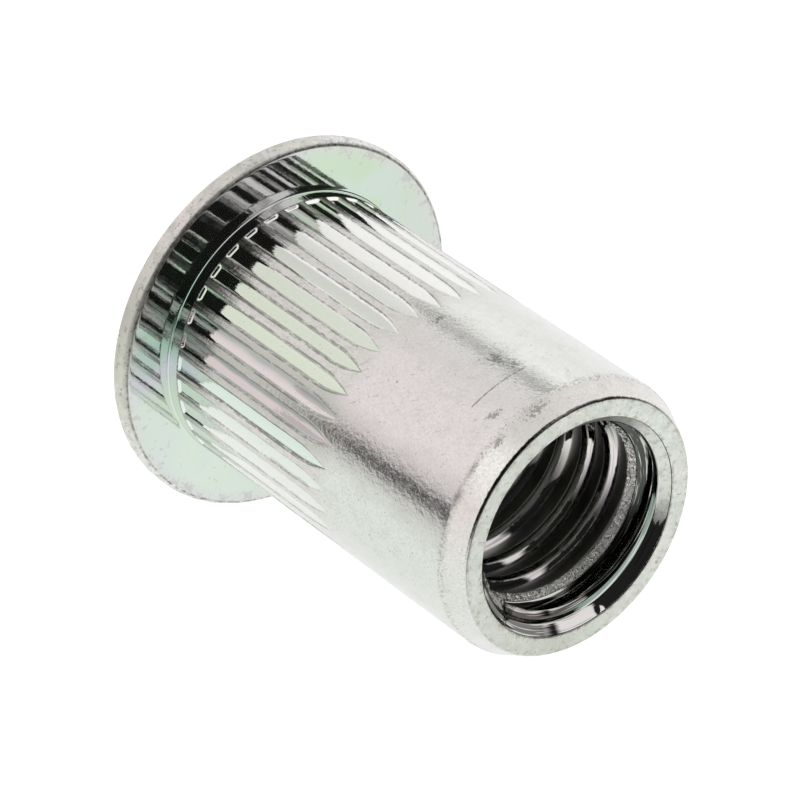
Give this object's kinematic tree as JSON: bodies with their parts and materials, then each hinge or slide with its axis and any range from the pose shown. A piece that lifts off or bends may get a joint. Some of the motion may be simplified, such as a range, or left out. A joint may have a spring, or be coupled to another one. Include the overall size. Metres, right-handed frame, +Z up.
{
  "type": "rivet nut",
  "caption": "Flanged blind rivet nut with a straight-knurled round body, a coned far end and a through bore, threaded in its far half.",
  "frame": {"origin": "centre of the flange's outer face, on the axis, at the bottom of the part as it stands on its flange", "axes": "+Z up the axis from the flange to the threaded far end; +X through the middle of a knurl groove"},
  "size_m": [0.0176, 0.0176, 0.0212],
  "materials": {
    "zinc_plated_steel": "bright zinc plate with faint green and pink tints, satin and scuffed on the body, glossy under the flange and in the knurl, matt on the rim and end face"
  },
  "bodies": {
    "root": {"rivet_nut": "zinc_plated_steel"}
  },
  "joints": []
}
